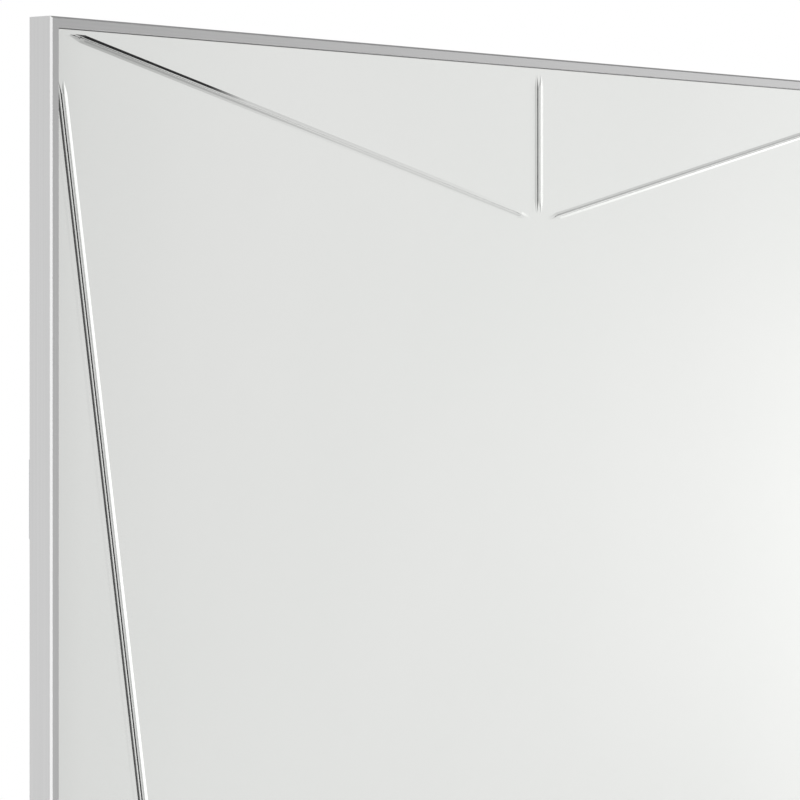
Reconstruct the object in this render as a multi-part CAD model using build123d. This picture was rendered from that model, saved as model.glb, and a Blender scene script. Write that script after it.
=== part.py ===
from build123d import *
import math
import os

# Framed wall mirror with a V-grooved glass in a slim mitred metal frame.
# Millimetres. X runs to the viewer's right, Z up, and the mirror faces -Y.
# The origin is the centre of the mirror on the wall plane, which the four bumpers touch.
# Along a rail, "inward" is measured from its outer side towards the middle of the mirror,
# and "back" from the front face towards the wall.

# Overall size of the frame
frame_width = 914.0
frame_height = 1219.0
frame_depth = 17.0

# Rail section
face_width = 6.35
lip_thickness = 1.5
wall_thickness = 1.5
outer_chamfer = 1.1
sight_chamfer = 0.3
channel_wall = 1.0
channel_width = 8.5
channel_depth = 3.6
channel_slot = 5.1

# Glass, its coatings and its backing
glass_thickness = 4.0
glass_edge_gap = 1.0
glass_seam = 0.4
silver_thickness = 0.1
paint_thickness = 0.1
board_thickness = 4.0

# V-grooves cut in the front of the glass
groove_width = 4.0
groove_flank_angle = 16.7
groove_root_radius = 2.1
groove_runout = 10.0
star_inset = 100.0
short_corner_start = 13.0
long_corner_start = 28.0
diagonal_end_gap = 11.0
tick_edge_gap = 2.3
tick_point_gap = 3.5
tool_overrun = 1.0

# Setting blocks under the glass
block_length = 60.0
block_from_centre = 228.0

# Bow springs that press the backing forward
spring_length = 70.0
spring_width = 7.5
spring_thickness = 0.5
spring_foot = 8.0
spring_crest_gap = 0.05
spring_side_gap = 0.3
springs_on_stile = 3
springs_on_rail = 2

# Corner keys in the channels
key_leg = 40.0
key_side_gap = 0.2
key_thickness = 1.9
key_backing_thickness = 1.2
key_screw_from_corner = 26.0
set_screw_radius = 2.0
screw_gap = 0.05
driver_slot_width = 0.8
driver_slot_depth = 0.9

# Hangers on the backs of the rails
plate_thickness = 1.2
plate_foot_length = 46.0
plate_edge_gap = 0.75
plate_corner_radius = 2.0
hole_gap = 0.2
clamp_thickness = 2.0
clamp_length = 46.0
hanger_screw_radius = 2.0
hanger_screw_pitch = 30.0
hanger_head_radius = 3.6
hanger_head_height = 1.8
head_edge_round = 0.6
stile_hanger_drop = 250.0
rail_hanger_inset = 200.0

# Rings and the rolled eyes that carry them
ring_wire_radius = 1.4
ring_straight = 18.0
ring_corner_radius = 3.0
ring_side = 2.0
ring_rail_gap = 1.0
eye_gap = 0.1
eye_length = 12.0

# Wall bumpers
bumper_radius = 5.0
bumper_height = 6.0
bumper_round = 1.0
bumper_from_corner = 70.0

# Positions that follow from the sizes above, measured inward from a rail's outer side
channel_inner = wall_thickness + channel_width
rail_width = channel_inner + channel_wall
channel_middle = wall_thickness + channel_width / 2
slot_near = channel_middle - channel_slot / 2
slot_far = channel_middle + channel_slot / 2

# Positions measured back from the front face
glass_front = lip_thickness
glass_back = glass_front + glass_thickness
silver_back = glass_back + silver_thickness
board_front = silver_back + paint_thickness
board_back = board_front + board_thickness
channel_floor = frame_depth - channel_wall - channel_depth
web_front = channel_floor - channel_wall
channel_roof = frame_depth - channel_wall

# Size of the glass and the other sheets
sheet_width = frame_width - 2 * (wall_thickness + glass_edge_gap)
sheet_height = frame_height - 2 * (wall_thickness + glass_edge_gap)

# Ring and eye sizes
eye_bore_radius = ring_wire_radius + eye_gap
eye_radius = eye_bore_radius + plate_thickness
ring_half_width = ring_straight / 2 + ring_corner_radius
ring_centre_inward = rail_width + ring_rail_gap + ring_half_width + ring_wire_radius

# Quarter turns about Y carry the bottom rail to the other three, and the bottom left corner round
SIDE_TURN = {"bottom": 0, "left": 90, "top": 180, "right": 270}
CORNERS = {
    "bottom_left": (-1, -1, 0),
    "top_left": (-1, 1, 90),
    "top_right": (1, 1, 180),
    "bottom_right": (1, -1, 270),
}

made = {}


def y_at(back):
    """Y of a plane that lies this far back from the front face."""
    return back - frame_depth - bumper_height


def span_to(side):
    """Distance from the centre of the mirror to the outer side of a rail."""
    return frame_height / 2 if side in ("bottom", "top") else frame_width / 2


def length_of(side):
    """Overall length of a rail, point to point of its mitres."""
    return frame_width if side in ("bottom", "top") else frame_height


def on_side(shape, side, along=0):
    """Puts a shape on a rail. It is made on a rail that lies along X with its outer side at Z = 0."""
    return Rot(0, SIDE_TURN[side], 0) * Pos(along, 0, -span_to(side)) * shape


def in_corner(shape, corner):
    """Puts a shape in a corner. It is made with the corner on the Y axis and its legs along +X and +Z."""
    sign_x, sign_z, turn = CORNERS[corner]
    return Pos(sign_x * frame_width / 2, 0, sign_z * frame_height / 2) * Rot(0, turn, 0) * shape


def rail_box(along, inward, back):
    """A box on a rail from its three pairs of limits."""
    size = (along[1] - along[0], back[1] - back[0], inward[1] - inward[0])
    return Pos(along[0], y_at(back[0]), inward[0]) * Box(*size, align=(Align.MIN, Align.MIN, Align.MIN))


def rail_rod(radius, along, inward, back):
    """A round bar square to the front face, from one depth to another."""
    bar = Rot(-90, 0, 0) * Cylinder(radius, back[1] - back[0], align=(Align.CENTER, Align.CENTER, Align.MIN))
    return Pos(along, y_at(back[0]), inward) * bar


def plate_face(points, back):
    """A flat face square to Y, from its corners along and inward."""
    return Face(Wire.make_polygon([Vector(x, y_at(back), z) for x, z in points], close=True))


# Frame rails

def rail_section():
    """The section as points: how far inward, and how far back."""
    return [
        (outer_chamfer, 0),
        (face_width - sight_chamfer, 0),
        (face_width, sight_chamfer),
        (face_width, lip_thickness),
        (wall_thickness, lip_thickness),
        (wall_thickness, web_front),
        (rail_width, web_front),
        (rail_width, frame_depth),
        (slot_far, frame_depth),
        (slot_far, channel_roof),
        (channel_inner, channel_roof),
        (channel_inner, channel_floor),
        (wall_thickness, channel_floor),
        (wall_thickness, channel_roof),
        (slot_near, channel_roof),
        (slot_near, frame_depth),
        (0, frame_depth),
        (0, outer_chamfer),
    ]


def mitred_rail(side):
    length = length_of(side)
    outline = [Vector(-length / 2, y_at(back), inward) for inward, back in rail_section()]
    bar = extrude(Face(Wire.make_polygon(outline, close=True)), amount=length, dir=(1, 0, 0))
    # The keep shape is a trapezium whose slanted ends are the two mitre cuts
    reach = rail_width + tool_overrun
    keep_points = [
        (-length / 2, 0),
        (length / 2, 0),
        (length / 2 - reach, reach),
        (reach - length / 2, reach),
    ]
    keep_depth = frame_depth + 2 * tool_overrun
    keep = extrude(plate_face(keep_points, -tool_overrun), amount=keep_depth, dir=(0, 1, 0))
    return on_side(bar & keep, side)


made["top_rail"] = mitred_rail("top")
made["bottom_rail"] = mitred_rail("bottom")
made["left_stile"] = mitred_rail("left")
made["right_stile"] = mitred_rail("right")


# Glass and the sheets behind it

def sheet(front, back):
    size = (sheet_width, back - front, sheet_height)
    return Pos(0, y_at(front), 0) * Box(*size, align=(Align.CENTER, Align.MIN, Align.CENTER))


def groove_tool(start, end):
    """What one straight groove takes away: flat flanks on a round root, rising to a point at each end."""
    along = (end - start).normalized()
    across = Vector(-along.Z, 0, along.X)
    slope = math.tan(math.radians(groove_flank_angle))
    root_half = groove_root_radius * math.sin(math.radians(groove_flank_angle))
    flank_foot = (groove_width / 2 - root_half) * slope
    root = flank_foot + root_half * math.tan(math.radians(groove_flank_angle / 2))
    lift = tool_overrun / (groove_width / 2 * slope)
    half_top = groove_width / 2 * (1 + lift)

    def point(along_groove, sideways, depth):
        return start + along * along_groove + across * sideways + Vector(0, depth, 0)

    near = groove_runout
    top_left, top_right = point(near, -half_top, -tool_overrun), point(near, half_top, -tool_overrun)
    foot_left, foot_right = point(near, -root_half, flank_foot), point(near, root_half, flank_foot)
    section = Wire(
        [
            Edge.make_line(top_left, foot_left),
            Edge.make_three_point_arc(foot_left, point(near, 0, root), foot_right),
            Edge.make_line(foot_right, top_right),
            Edge.make_line(top_right, top_left),
        ]
    )
    full = (end - start).length - 2 * groove_runout
    far_section = section.moved(Location(along * full))
    tip = Vertex(*point(-groove_runout * lift, 0, -tool_overrun))
    far_tip = Vertex(*point(near + full + groove_runout * (1 + lift), 0, -tool_overrun))
    middle = Solid.extrude(Face(section), along * full)
    ends = [Solid.make_loft([tip, section], ruled=True), Solid.make_loft([far_section, far_tip], ruled=True)]
    return middle.fuse(*ends)


def groove_lines():
    """Start and end of each groove on the front of the glass: eight long diagonals and four short ticks."""
    half_w = frame_width / 2 - face_width
    half_h = frame_height / 2 - face_width
    lines = []

    def add(start, end):
        lines.append(tuple(Vector(x, y_at(glass_front), z) for x, z in (start, end)))

    def diagonal(corner, point, corner_gap):
        run = Vector(point[0] - corner[0], 0, point[1] - corner[1])
        unit = run.normalized()
        begin = Vector(corner[0], 0, corner[1]) + unit * corner_gap
        finish = Vector(corner[0], 0, corner[1]) + unit * (run.length - diagonal_end_gap)
        add((begin.X, begin.Z), (finish.X, finish.Z))

    for sx in (-1, 1):
        for sz in (-1, 1):
            corner = (sx * half_w, sz * half_h)
            diagonal(corner, (0, sz * (half_h - star_inset)), short_corner_start)
            diagonal(corner, (sx * (half_w - star_inset), 0), long_corner_start)
    for sign in (-1, 1):
        outer, inner = tick_edge_gap, star_inset - tick_point_gap
        add((0, sign * (half_h - outer)), (0, sign * (half_h - inner)))
        add((sign * (half_w - outer), 0), (sign * (half_w - inner), 0))
    return lines


slab = sheet(glass_front, glass_back)
slab = chamfer(slab.edges(), glass_seam)
for groove_start, groove_end in groove_lines():
    slab = slab - groove_tool(groove_start, groove_end)
made["mirror_glass"] = slab
made["silver_layer"] = sheet(glass_back, silver_back)
made["protective_paint"] = sheet(silver_back, board_front)
made["backing_board"] = sheet(board_front, board_back)

for name, sign in (("left", -1), ("right", 1)):
    block = rail_box(
        (-block_length / 2, block_length / 2),
        (wall_thickness, wall_thickness + glass_edge_gap),
        (lip_thickness, board_back),
    )
    made[f"setting_block_{name}"] = on_side(block, "bottom", sign * block_from_centre)


# Bow springs between the backing board and the channel

def bow_spring():
    half = spring_length / 2
    bow_half = half - spring_foot
    rise = web_front - board_back - spring_crest_gap
    under_rise = rise - spring_thickness
    foot_top = spring_thickness
    profile = Wire(
        [
            Line((-half, 0), (-bow_half, 0)),
            ThreePointArc((-bow_half, 0), (0, under_rise), (bow_half, 0)),
            Line((bow_half, 0), (half, 0)),
            Line((half, 0), (half, foot_top)),
            Line((half, foot_top), (bow_half, foot_top)),
            ThreePointArc((bow_half, foot_top), (0, rise), (-bow_half, foot_top)),
            Line((-bow_half, foot_top), (-half, foot_top)),
            Line((-half, foot_top), (-half, 0)),
        ]
    )
    strip = extrude(Face(profile), amount=spring_width, dir=(0, 0, 1))
    return Pos(0, y_at(board_back), wall_thickness + glass_edge_gap + spring_side_gap) * strip


def spring_row(side, count):
    step = length_of(side) / (count + 1)
    places = [step * (i + 1) - length_of(side) / 2 for i in range(count)]
    return Compound(children=[on_side(bow_spring(), side, along) for along in places])


for side in SIDE_TURN:
    count = springs_on_rail if side in ("bottom", "top") else springs_on_stile
    made[f"spring_clips_{side}"] = spring_row(side, count)


# Corner keys, their backing plates and set screws

key_near = wall_thickness + key_side_gap
key_far = channel_inner - key_side_gap
KEY_SCREWS = [(key_screw_from_corner, channel_middle), (channel_middle, key_screw_from_corner)]


def corner_plate(front, back):
    """An L that lies in the channels of both rails."""
    foot = rail_box((key_near, key_leg), (key_near, key_far), (front, back))
    post = rail_box((key_near, key_far), (key_near, key_leg), (front, back))
    return foot + post


def corner_key():
    plate = corner_plate(channel_roof - key_thickness, channel_roof)
    for along, inward in KEY_SCREWS:
        plate = plate - rail_rod(set_screw_radius + screw_gap, along, inward, (channel_floor, frame_depth))
    return plate


def set_screw(along, inward):
    tip = channel_floor + key_backing_thickness
    screw = rail_rod(set_screw_radius, along, inward, (tip, channel_roof))
    slot = rail_box(
        (along - 2 * set_screw_radius, along + 2 * set_screw_radius),
        (inward - driver_slot_width / 2, inward + driver_slot_width / 2),
        (channel_roof - driver_slot_depth, frame_depth),
    )
    return screw - slot


for corner in CORNERS:
    backing = corner_plate(channel_floor, channel_floor + key_backing_thickness)
    made[f"corner_key_{corner}"] = in_corner(corner_key(), corner)
    made[f"corner_backing_plate_{corner}"] = in_corner(backing, corner)
    made[f"corner_set_screws_{corner}"] = Compound(
        children=[in_corner(set_screw(*place), corner) for place in KEY_SCREWS]
    )


# Hangers: a plate clamped to the channel, with a D-ring in its rolled eye
# Each is made with its eye's edge at X = 0, and pull says which way along X the ring pulls

def hanger_screw_places(pull):
    middle = -pull * plate_foot_length / 2
    return [middle - hanger_screw_pitch / 2, middle + hanger_screw_pitch / 2]


def hanger_plate(pull):
    tongue_near = ring_centre_inward - eye_length / 2
    tongue_far = ring_centre_inward + eye_length / 2
    outline = [
        (-plate_foot_length, plate_edge_gap),
        (0, plate_edge_gap),
        (0, tongue_near),
        (eye_radius, tongue_near),
        (eye_radius, tongue_far),
        (-plate_foot_length / 2, tongue_far),
        (-plate_foot_length, rail_width),
    ]
    face = plate_face([(pull * along, inward) for along, inward in outline], frame_depth)
    plate = extrude(face, amount=plate_thickness, dir=(0, 1, 0))
    # The corners at the tongue stay square, because the eye runs on from them
    eye_side = eye_radius + plate_edge_gap
    rounded = [edge for edge in plate.edges().filter_by(Axis.Y) if abs(edge.center().X) > eye_side]
    plate = fillet(rounded, plate_corner_radius)
    eye_middle = Pos(pull * eye_radius, y_at(frame_depth) + eye_radius, ring_centre_inward)
    plate = plate + eye_middle * Cylinder(eye_radius, eye_length)
    plate = plate - eye_middle * Cylinder(eye_bore_radius, eye_length + 2 * tool_overrun)
    for along in hanger_screw_places(pull):
        through = (channel_roof, frame_depth + 2 * plate_thickness)
        plate = plate - rail_rod(hanger_screw_radius + hole_gap, along, channel_middle, through)
    return plate


def hanger_clamp(pull):
    middle = -pull * plate_foot_length / 2
    bar = rail_box(
        (middle - clamp_length / 2, middle + clamp_length / 2),
        (key_near, key_far),
        (channel_roof - clamp_thickness, channel_roof),
    )
    for along in hanger_screw_places(pull):
        through = (channel_floor, frame_depth)
        bar = bar - rail_rod(hanger_screw_radius + screw_gap, along, channel_middle, through)
    return bar


def hanger_screw(along):
    under_head = frame_depth + plate_thickness
    top = under_head + hanger_head_height
    head = rail_rod(hanger_head_radius, along, channel_middle, (under_head, top))
    rim = head.edges().filter_by(GeomType.CIRCLE).sort_by(Axis.Y)[-1]
    head = fillet(rim, head_edge_round)
    shank = rail_rod(hanger_screw_radius, along, channel_middle, (channel_roof - clamp_thickness, under_head))
    screw = head + shank
    long, short = hanger_head_radius / 2, driver_slot_width / 2
    for half_along, half_inward in ((long, short), (short, long)):
        screw = screw - rail_box(
            (along - half_along, along + half_along),
            (channel_middle - half_inward, channel_middle + half_inward),
            (top - driver_slot_depth, top + tool_overrun),
        )
    return screw


def hanger_ring(pull):
    """A D of round wire: its straight side turns in the eye, and at rest it lies back over the plate."""
    half = ring_straight / 2
    shoulder = ring_corner_radius + ring_side
    quarter = ring_corner_radius * (1 - 2**-0.5)

    def at(across, out):
        return Vector(pull * (eye_radius - out), y_at(frame_depth) + eye_radius, ring_centre_inward + across)

    path = Wire(
        [
            Line(at(-half, 0), at(half, 0)),
            ThreePointArc(
                at(half, 0), at(ring_half_width - quarter, quarter), at(ring_half_width, ring_corner_radius)
            ),
            Line(at(ring_half_width, ring_corner_radius), at(ring_half_width, shoulder)),
            ThreePointArc(
                at(ring_half_width, shoulder),
                at(0, shoulder + ring_half_width),
                at(-ring_half_width, shoulder),
            ),
            Line(at(-ring_half_width, shoulder), at(-ring_half_width, ring_corner_radius)),
            ThreePointArc(
                at(-ring_half_width, ring_corner_radius), at(quarter - ring_half_width, quarter), at(-half, 0)
            ),
        ]
    )
    profile = Plane(origin=path @ 0, z_dir=path % 0) * Circle(ring_wire_radius)
    return sweep(profile, path=path)


# Where each hanger's eye sits along its rail, and which way it pulls: up in portrait, left in landscape
# On the left stile a rail's +X points down, on the right stile up, and on the top rail left
stile_along = frame_height / 2 - stile_hanger_drop
rail_along = frame_width / 2 - rail_hanger_inset
HANGERS = {
    "left": (-stile_along, -1),
    "right": (stile_along, 1),
    "bottom": (-rail_along, -1),
    "top": (rail_along, 1),
}
for side, (along, pull) in HANGERS.items():
    screws = [on_side(hanger_screw(place), side, along) for place in hanger_screw_places(pull)]
    made[f"hanger_plate_{side}"] = on_side(hanger_plate(pull), side, along)
    made[f"hanger_ring_{side}"] = on_side(hanger_ring(pull), side, along)
    made[f"hanger_clamp_{side}"] = on_side(hanger_clamp(pull), side, along)
    made[f"hanger_screws_{side}"] = Compound(children=screws)


# Rubber bumpers that hold the frame off the wall

def bumper():
    body = rail_rod(bumper_radius, 0, channel_middle, (frame_depth, frame_depth + bumper_height))
    rim = body.edges().filter_by(GeomType.CIRCLE).sort_by(Axis.Y)[-1]
    return fillet(rim, bumper_round)


for side in ("bottom", "top"):
    for name, sign in (("left", -1), ("right", 1)):
        # The top rail is the bottom one turned half round, so its left is at +X
        along = sign * (frame_width / 2 - bumper_from_corner) * (1 if side == "bottom" else -1)
        made[f"wall_bumper_{side}_{name}"] = on_side(bumper(), side, along)


os.makedirs("parts", exist_ok=True)
for node, shape in made.items():
    export_step(shape, f"parts/{node}.step")
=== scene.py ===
# %% [markdown]
# # A framed wall mirror with cut grooves
#
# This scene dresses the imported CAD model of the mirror. The CAD pieces keep
# their places and shapes, and every piece gets a procedural material. The
# frame is shared with the CAD: x to the right, z up, y into the wall, and
# the origin on the wall behind the middle of the mirror. Lengths are metres.

import math

import bpy
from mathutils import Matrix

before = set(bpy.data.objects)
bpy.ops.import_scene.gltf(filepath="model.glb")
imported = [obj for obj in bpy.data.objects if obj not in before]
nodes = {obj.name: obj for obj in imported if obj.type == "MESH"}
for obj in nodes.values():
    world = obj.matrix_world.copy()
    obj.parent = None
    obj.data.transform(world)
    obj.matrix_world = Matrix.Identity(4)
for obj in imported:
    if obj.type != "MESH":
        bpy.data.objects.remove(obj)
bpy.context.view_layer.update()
print(len(nodes), "CAD nodes loaded")

# %% [markdown]
# ## Helpers for node materials
#
# A material starts from Blender's Principled shader. Constants are set on the
# shader's own sockets. Fine variation comes from noise in Object coordinates,
# so that it stays on the piece when the piece moves.

# %% Material helpers
# Most of the noise lies between these values.
NOISE_LOW, NOISE_HIGH = 0.3, 0.7
# The distance and strength of small bumps.
PLAIN_BUMP = (0.0002, 0.3)
METAL_BUMP = (0.00005, 0.2)


def start_material(name):
    """A new node material, with its nodes, links and Principled shader."""
    material = bpy.data.materials.new(name)
    material.use_nodes = True
    tree = material.node_tree
    return material, tree.nodes, tree.links, tree.nodes["Principled BSDF"]


def stretched_noise(nodes, links, scale, detail=4.0):
    """Noise in Object coordinates, with its own scale along x, y and z."""
    place = nodes.new("ShaderNodeTexCoord")
    mapping = nodes.new("ShaderNodeMapping")
    mapping.inputs["Scale"].default_value = scale
    noise = nodes.new("ShaderNodeTexNoise")
    noise.inputs["Scale"].default_value = 1.0
    noise.inputs["Detail"].default_value = detail
    links.new(place.outputs["Object"], mapping.inputs["Vector"])
    links.new(mapping.outputs["Vector"], noise.inputs["Vector"])
    return noise.outputs["Fac"]


def spread(nodes, links, value, low, high):
    """The noise's usual range spread over low to high."""
    ranged = nodes.new("ShaderNodeMapRange")
    ranged.inputs["From Min"].default_value = NOISE_LOW
    ranged.inputs["From Max"].default_value = NOISE_HIGH
    ranged.inputs["To Min"].default_value = low
    ranged.inputs["To Max"].default_value = high
    links.new(value, ranged.inputs["Value"])
    return ranged.outputs["Result"]


def two_colours(nodes, links, value, dark, light):
    """A colour between dark and light, by the noise value."""
    ramp = nodes.new("ShaderNodeValToRGB")
    ramp.color_ramp.elements[0].position = NOISE_LOW
    ramp.color_ramp.elements[0].color = (*dark, 1.0)
    ramp.color_ramp.elements[1].position = NOISE_HIGH
    ramp.color_ramp.elements[1].color = (*light, 1.0)
    links.new(value, ramp.inputs["Fac"])
    return ramp.outputs["Color"]


def bumps(nodes, links, value, shader, distance, strength):
    """Small bumps on the shader's normal, by the noise value."""
    bump = nodes.new("ShaderNodeBump")
    bump.inputs["Strength"].default_value = strength
    bump.inputs["Distance"].default_value = distance
    links.new(value, bump.inputs["Height"])
    links.new(bump.outputs["Normal"], shader.inputs["Normal"])


def finish_material(name, dark, light, rough, metallic, scale, bump=PLAIN_BUMP):
    """A material whose colour, roughness and surface vary with one noise."""
    material, nodes, links, shader = start_material(name)
    value = stretched_noise(nodes, links, scale)
    links.new(two_colours(nodes, links, value, dark, light), shader.inputs["Base Color"])
    links.new(spread(nodes, links, value, *rough), shader.inputs["Roughness"])
    shader.inputs["Metallic"].default_value = metallic
    bumps(nodes, links, value, shader, *bump)
    return material


def mix_shaders(nodes, links, factor, first, second):
    """The first shader where the factor is 0, and the second where it is 1."""
    mix = nodes.new("ShaderNodeMixShader")
    links.new(factor, mix.inputs["Fac"])
    links.new(first, mix.inputs[1])
    links.new(second, mix.inputs[2])
    return mix.outputs["Shader"]


def clear_where(nodes, links, factor):
    """The material keeps its shader where the factor is 0, and is clear at 1."""
    clear = nodes.new("ShaderNodeBsdfTransparent")
    links.new(
        mix_shaders(
            nodes, links, factor,
            nodes["Principled BSDF"].outputs["BSDF"], clear.outputs["BSDF"],
        ),
        nodes["Material Output"].inputs["Surface"],
    )


def smooth_rise(nodes, links, value, limits):
    """0 below the first limit, 1 above the second, and smooth in between."""
    rise = nodes.new("ShaderNodeMapRange")
    rise.interpolation_type = "SMOOTHSTEP"
    rise.inputs["From Min"].default_value = limits[0]
    rise.inputs["From Max"].default_value = limits[1]
    links.new(value, rise.inputs["Value"])
    return rise.outputs["Result"]


def grey(value):
    """A neutral colour."""
    return (value, value, value)


def paint(material, names):
    """The material goes on these CAD nodes."""
    for name in names:
        mesh = nodes[name].data
        mesh.materials.clear()
        mesh.materials.append(material)
    print(material.name, "on", len(names), "nodes")


def named(start):
    """The CAD nodes whose names begin this way."""
    return sorted(name for name in nodes if name.startswith(start))


# %% [markdown]
# ## Frame metal
#
# The frame is taken to be satin polished aluminium. Its lines run along each
# length, so the two rails have them along x and the two stiles along z.

# %% Frame metal
FRAME_LIGHT = 0.77
FRAME_DARK = 0.72
FRAME_ROUGH = (0.33, 0.38)
LINES_ALONG = 4.0
LINES_ACROSS = 1400.0
LINES_BUMP = (0.00001, 0.1)

rail_metal = finish_material(
    "frame_metal_rails", grey(FRAME_DARK), grey(FRAME_LIGHT), FRAME_ROUGH, 1.0,
    (LINES_ALONG, LINES_ACROSS, LINES_ACROSS), bump=LINES_BUMP,
)
stile_metal = finish_material(
    "frame_metal_stiles", grey(FRAME_DARK), grey(FRAME_LIGHT), FRAME_ROUGH, 1.0,
    (LINES_ACROSS, LINES_ACROSS, LINES_ALONG), bump=LINES_BUMP,
)
paint(rail_metal, ["top_rail", "bottom_rail"])
paint(stile_metal, ["left_stile", "right_stile"])

# %% [markdown]
# ## Mirror glass
#
# The glass is clear, so that a groove is seen twice: once on the surface and
# once in the silver behind it. The back of the glass touches the silver, and
# both of the faces that touch work as one mirror: a ray on its way in is
# turned back by either face, and a ray on its way out passes both.

# %% Mirror glass and silver
GLASS_INDEX = 1.52
GLASS_CLEAR = (0.985, 0.992, 0.985)
GLASS_TINT = (0.975, 0.990, 0.978)
SILVER = (0.955, 0.955, 0.945)
SILVER_DIM = (0.945, 0.945, 0.935)
GLASS_BACK_Y = -0.0175
TOUCH = 0.0001


def silver_shader(nodes, links, shader):
    """The shader becomes clean silver with a very faint cloudiness."""
    value = stretched_noise(nodes, links, (6.0, 6.0, 6.0), detail=2.0)
    links.new(
        two_colours(nodes, links, value, SILVER_DIM, SILVER), shader.inputs["Base Color"]
    )
    shader.inputs["Metallic"].default_value = 1.0
    shader.inputs["Roughness"].default_value = 0.0


silver, silver_nodes, silver_links, silver_bsdf = start_material("silver")
silver_shader(silver_nodes, silver_links, silver_bsdf)
silver_side = silver_nodes.new("ShaderNodeNewGeometry")
clear_where(silver_nodes, silver_links, silver_side.outputs["Backfacing"])
paint(silver, ["silver_layer"])

glass, glass_nodes, glass_links, glass_bsdf = start_material("mirror_glass")
tint = stretched_noise(glass_nodes, glass_links, (3.0, 3.0, 3.0), detail=2.0)
glass_links.new(
    two_colours(glass_nodes, glass_links, tint, GLASS_TINT, GLASS_CLEAR),
    glass_bsdf.inputs["Base Color"],
)
glass_bsdf.inputs["Transmission Weight"].default_value = 1.0
glass_bsdf.inputs["IOR"].default_value = GLASS_INDEX
glass_bsdf.inputs["Roughness"].default_value = 0.0

backed = glass_nodes.new("ShaderNodeBsdfPrincipled")
silver_shader(glass_nodes, glass_links, backed)
glass_side = glass_nodes.new("ShaderNodeNewGeometry")
glass_clear = glass_nodes.new("ShaderNodeBsdfTransparent")
where = glass_nodes.new("ShaderNodeTexCoord")
apart = glass_nodes.new("ShaderNodeSeparateXYZ")
at_back = glass_nodes.new("ShaderNodeMath")
at_back.operation = "GREATER_THAN"
at_back.inputs[1].default_value = GLASS_BACK_Y - TOUCH
glass_links.new(where.outputs["Object"], apart.inputs["Vector"])
glass_links.new(apart.outputs["Y"], at_back.inputs[0])
back_face = mix_shaders(
    glass_nodes, glass_links, glass_side.outputs["Backfacing"],
    glass_clear.outputs["BSDF"], backed.outputs["BSDF"],
)
glass_links.new(
    mix_shaders(
        glass_nodes, glass_links, at_back.outputs["Value"],
        glass_bsdf.outputs["BSDF"], back_face,
    ),
    glass_nodes["Material Output"].inputs["Surface"],
)
paint(glass, ["mirror_glass"])

# %% [markdown]
# ## The pieces behind the glass
#
# Backing paint, hardboard, rubber, zinc plated steel and spring steel each
# have their own grain or mottling, at the scale that it has on a real piece.

# %% Back pieces
back_paint = finish_material(
    "back_paint", (0.30, 0.33, 0.33), (0.36, 0.39, 0.39), (0.35, 0.5), 0.0,
    (60.0, 60.0, 60.0),
)
hardboard = finish_material(
    "hardboard", (0.22, 0.135, 0.075), (0.40, 0.27, 0.165), (0.6, 0.85), 0.0,
    (420.0, 420.0, 420.0), bump=(0.0003, 0.5),
)
rubber = finish_material(
    "rubber", grey(0.035), grey(0.060), (0.55, 0.8), 0.0,
    (700.0, 700.0, 700.0),
)
zinc = finish_material(
    "zinc_plate", (0.60, 0.61, 0.63), (0.74, 0.75, 0.76), (0.25, 0.42), 1.0,
    (160.0, 160.0, 160.0), bump=METAL_BUMP,
)
spring_steel = finish_material(
    "spring_steel", (0.34, 0.34, 0.36), (0.46, 0.46, 0.48), (0.28, 0.42), 1.0,
    (300.0, 300.0, 300.0), bump=METAL_BUMP,
)
screw_steel = finish_material(
    "screw_steel", (0.50, 0.50, 0.52), (0.64, 0.64, 0.66), (0.22, 0.36), 1.0,
    (500.0, 500.0, 500.0), bump=METAL_BUMP,
)
ring_wire = finish_material(
    "ring_wire", (0.62, 0.63, 0.65), (0.76, 0.77, 0.78), (0.16, 0.28), 1.0,
    (240.0, 240.0, 240.0), bump=METAL_BUMP,
)
paint(back_paint, ["protective_paint"])
paint(hardboard, ["backing_board"])
paint(rubber, named("setting_block") + named("wall_bumper"))
paint(spring_steel, named("spring_clips"))
paint(
    zinc,
    named("corner_key") + named("corner_backing") + named("hanger_plate")
    + named("hanger_clamp"),
)
paint(screw_steel, named("corner_set") + named("hanger_screws"))
paint(ring_wire, named("hanger_ring"))

# %% [markdown]
# ## Floor
#
# A pale floor lies below the mirror. It isn't part of the object. It is
# small, so that from the photo's camera the mirror shows the studio and not
# the floor, and it fades out towards its edge.

# %% Floor
FLOOR_Y = -0.1
FLOOR_Z = -0.70
FLOOR_SIZE = 2.6
FLOOR_FADE = (0.5, 1.2)

bpy.ops.object.select_all(action="DESELECT")
bpy.ops.mesh.primitive_plane_add(size=FLOOR_SIZE, location=(0.0, FLOOR_Y, FLOOR_Z))
floor = bpy.context.active_object
floor.name = "floor"
bpy.ops.object.transform_apply(location=True, rotation=False, scale=False)
floor_material = finish_material(
    "floor", grey(0.90), grey(0.92), (0.6, 0.8), 0.0, (40.0, 40.0, 40.0)
)
floor_nodes = floor_material.node_tree.nodes
floor_links = floor_material.node_tree.links
floor_place = floor_nodes.new("ShaderNodeTexCoord")
flat_place = floor_nodes.new("ShaderNodeMapping")
flat_place.inputs["Scale"].default_value = (1.0, 1.0, 0.0)
reach = floor_nodes.new("ShaderNodeVectorMath")
reach.operation = "LENGTH"
floor_links.new(floor_place.outputs["Object"], flat_place.inputs["Vector"])
floor_links.new(flat_place.outputs["Vector"], reach.inputs[0])
clear_where(
    floor_nodes, floor_links,
    smooth_rise(floor_nodes, floor_links, reach.outputs["Value"], FLOOR_FADE),
)
floor.data.materials.append(floor_material)
print("floor", FLOOR_SIZE, "m wide at", FLOOR_Z)

# %% [markdown]
# ## Studio card
#
# A small black card hangs in the studio, in front of the mirror and to its
# right. It isn't part of the object, and cameras don't see it directly. It
# gives the first third of the groove at the top left its black line. From the
# photo's camera almost nothing else shows it, but from other places the mirror
# may. Its right edge is soft, so that the line fades out.

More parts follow.
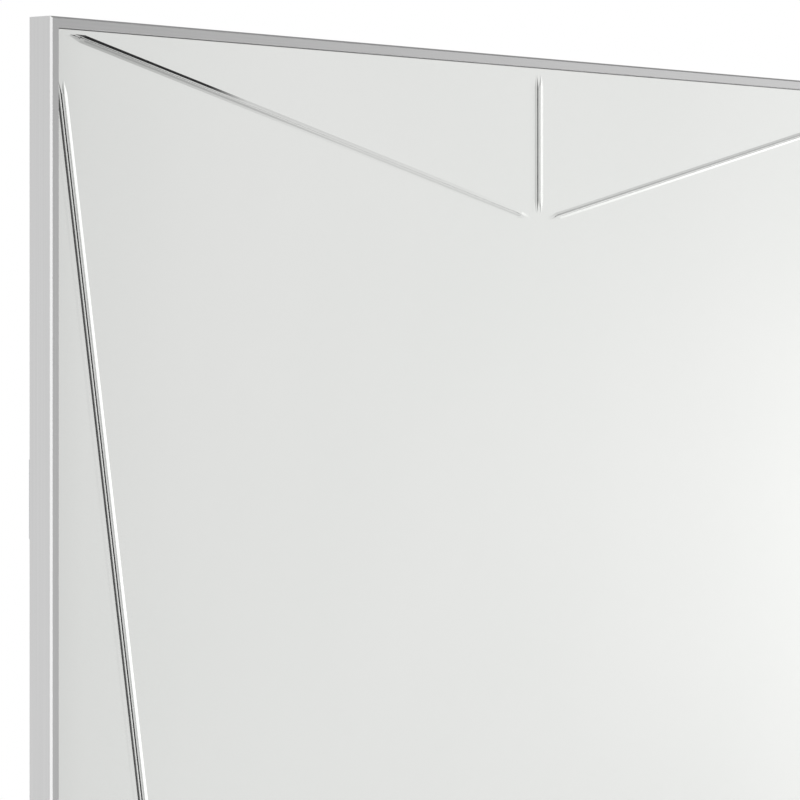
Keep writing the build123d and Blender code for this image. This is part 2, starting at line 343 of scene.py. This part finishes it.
# %% Card
# Its azimuth in degrees, and its distance from the mirror's middle.
CARD_TURN = 51.25
CARD_AWAY = 1.6
# Its edges, left and right of that azimuth, low and high.
CARD_ACROSS = (-0.42, -0.085)
CARD_HEIGHTS = (0.955, 1.32)
# Where it begins to fade, and where it is gone.
CARD_SOFT = (-0.135, -0.09)

card_middle = sum(CARD_ACROSS) / 2
card_sine = math.sin(math.radians(CARD_TURN))
card_cosine = math.cos(math.radians(CARD_TURN))
bpy.ops.object.select_all(action="DESELECT")
bpy.ops.mesh.primitive_plane_add(
    size=1.0,
    location=(
        card_sine * CARD_AWAY + card_cosine * card_middle,
        -card_cosine * CARD_AWAY + card_sine * card_middle,
        sum(CARD_HEIGHTS) / 2,
    ),
    rotation=(math.radians(90.0), 0.0, math.radians(CARD_TURN)),
)
card = bpy.context.active_object
card.name = "studio_card"
card.scale = (CARD_ACROSS[1] - CARD_ACROSS[0], CARD_HEIGHTS[1] - CARD_HEIGHTS[0], 1.0)
bpy.ops.object.transform_apply(location=True, rotation=True, scale=True)
card_material = finish_material(
    "card", grey(0.010), grey(0.016), (0.85, 0.95), 0.0, (200.0, 200.0, 200.0)
)
card_nodes = card_material.node_tree.nodes
card_links = card_material.node_tree.links
card_nodes["Principled BSDF"].inputs["Specular IOR Level"].default_value = 0.0
card_rays = card_nodes.new("ShaderNodeLightPath")
card_place = card_nodes.new("ShaderNodeTexCoord")
card_reach = card_nodes.new("ShaderNodeVectorMath")
card_reach.operation = "DOT_PRODUCT"
card_reach.inputs[1].default_value = (card_cosine, card_sine, 0.0)
card_gone = card_nodes.new("ShaderNodeMath")
card_gone.operation = "MAXIMUM"
card_links.new(card_place.outputs["Object"], card_reach.inputs[0])
card_links.new(
    smooth_rise(card_nodes, card_links, card_reach.outputs["Value"], CARD_SOFT),
    card_gone.inputs[0],
)
card_links.new(card_rays.outputs["Is Camera Ray"], card_gone.inputs[1])
clear_where(card_nodes, card_links, card_gone.outputs["Value"])
card.data.materials.append(card_material)
print("card", CARD_AWAY, "m away")

# %% [markdown]
# ## Studio world
#
# The camera sees plain white, and matt pieces are lit evenly. Metal and glass
# see a studio that changes with direction: pale walls, a dark band beside
# the camera's mirror direction, and a bright wall further round.
#
# The direction is told as an azimuth: degrees from straight in front of the
# mirror, positive towards the right hand. The levels were chosen by comparing
# renders with the photo.

# %% World
EVEN_LIGHT = 0.95
# Azimuth in degrees, brightness at eye level.
STUDIO = [
    (-180, 0.80), (-134, 0.83), (-90, 0.90), (-60, 1.05), (-50, 1.35),
    (-44, 1.80), (-38, 1.35), (-28, 1.00), (-15, 0.80), (0, 0.72), (9, 0.50),
    (16, 0.03), (36.2, 0.015), (38.8, 0.56), (40.5, 0.56), (42.5, 0.38),
    (44.3, 0.48), (46, 0.735), (47.5, 0.78), (50, 0.805), (54, 0.82),
    (57, 0.86), (59, 1.02), (61.5, 1.20), (77, 1.20), (80, 0.45), (92, 0.45),
    (110, 0.80), (180, 0.80),
]
# Elevation in degrees, share of the brightness at eye level.
HEIGHTS = [
    (-90, 0.75), (-30, 0.85), (-15, 0.93), (-8, 1.00), (7, 1.00), (11, 0.92),
    (15, 0.74), (20, 0.58), (35, 0.50), (60, 0.60), (90, 0.70),
]
# The brightest level in STUDIO.
LEVEL_TOP = 1.8
# A soft lamp on the right wall, a little below eye level, in degrees.
LAMP_AZIMUTH, LAMP_AZIMUTH_WIDTH = 60.5, 4.6
LAMP_ELEVATION, LAMP_ELEVATION_WIDTH = -2.8, 3.4
LAMP_LEVEL = 0.20

world = bpy.data.worlds.new("studio")
bpy.context.scene.world = world
world.use_nodes = True
wn, wl = world.node_tree.nodes, world.node_tree.links
wn.clear()


def world_math(operation, first, second=None):
    """One Math node; an input is a socket or a number."""
    node = wn.new("ShaderNodeMath")
    node.operation = operation
    for place, value in enumerate((first, second)):
        if isinstance(value, (int, float)):
            node.inputs[place].default_value = value
        elif value is not None:
            wl.new(value, node.inputs[place])
    return node.outputs["Value"]


def levels(degrees, table, top):
    """A smooth brightness by angle; the table gives degrees and levels."""
    low, high = table[0][0], table[-1][0]
    ramp = wn.new("ShaderNodeValToRGB")
    ramp.color_ramp.interpolation = "EASE"
    stops = ramp.color_ramp.elements
    for count, (angle, level) in enumerate(table):
        position = (angle - low) / (high - low)
        stop = stops[count] if count < 2 else stops.new(position)
        stop.position = position
        stop.color = (*grey(level / top), 1.0)
    share = world_math("DIVIDE", world_math("SUBTRACT", degrees, low), high - low)
    wl.new(share, ramp.inputs["Fac"])
    return world_math("MULTIPLY", ramp.outputs["Color"], top)


def bell(degrees, centre, width):
    """The squared distance from the centre, in widths."""
    away = world_math("DIVIDE", world_math("SUBTRACT", degrees, centre), width)
    return world_math("MULTIPLY", away, away)


direction = wn.new("ShaderNodeTexCoord")
parts = wn.new("ShaderNodeSeparateXYZ")
wl.new(direction.outputs["Generated"], parts.inputs["Vector"])
to_front = world_math("MULTIPLY", parts.outputs["Y"], -1.0)
azimuth = world_math(
    "DEGREES", world_math("ARCTAN2", parts.outputs["X"], to_front)
)
elevation = world_math("DEGREES", world_math("ARCSINE", parts.outputs["Z"]))

wall = world_math(
    "MULTIPLY", levels(azimuth, STUDIO, LEVEL_TOP), levels(elevation, HEIGHTS, 1.0)
)
lamp_away = world_math(
    "ADD",
    bell(azimuth, LAMP_AZIMUTH, LAMP_AZIMUTH_WIDTH),
    bell(elevation, LAMP_ELEVATION, LAMP_ELEVATION_WIDTH),
)
lamp = world_math(
    "MULTIPLY",
    world_math("EXPONENT", world_math("MULTIPLY", lamp_away, -0.5)),
    LAMP_LEVEL,
)
around = world_math("ADD", wall, lamp)

rays = wn.new("ShaderNodeLightPath")
even = world_math("MULTIPLY", rays.outputs["Is Diffuse Ray"], EVEN_LIGHT)
not_diffuse = world_math("SUBTRACT", 1.0, rays.outputs["Is Diffuse Ray"])
studio = world_math("ADD", even, world_math("MULTIPLY", not_diffuse, around))
not_camera = world_math("SUBTRACT", 1.0, rays.outputs["Is Camera Ray"])
level = world_math(
    "ADD", rays.outputs["Is Camera Ray"], world_math("MULTIPLY", not_camera, studio)
)
background = wn.new("ShaderNodeBackground")
background.inputs["Color"].default_value = (1.0, 1.0, 1.0, 1.0)
wl.new(level, background.inputs["Strength"])
world_output = wn.new("ShaderNodeOutputWorld")
wl.new(background.outputs["Background"], world_output.inputs["Surface"])
print("studio world with", len(STUDIO), "azimuth stops")

# %% [markdown]
# ## Camera
#
# The photo is a close view of one corner with a long lens. The camera is
# level, 0.43 m above the mirror's middle, and the horizon is a little above
# the middle of the picture, which the vertical shift gives.

# %% Camera
CAMERA_AT = (-2.1285, -1.6393, 0.4286)
CAMERA_TURN = 50.8
LENS = 185.4
SHIFT_Y = -0.0785
SENSOR_WIDTH = 36.0
CLIP_END = 50.0

bpy.ops.object.camera_add(
    location=CAMERA_AT, rotation=(math.radians(90.0), 0.0, math.radians(-CAMERA_TURN))
)
camera = bpy.context.active_object
camera.name = "photo_camera"
camera.data.lens = LENS
camera.data.sensor_width = SENSOR_WIDTH
camera.data.shift_y = SHIFT_Y
camera.data.clip_end = CLIP_END
bpy.context.scene.camera = camera
bpy.context.scene.view_settings.view_transform = "Standard"
print("camera", LENS, "mm")
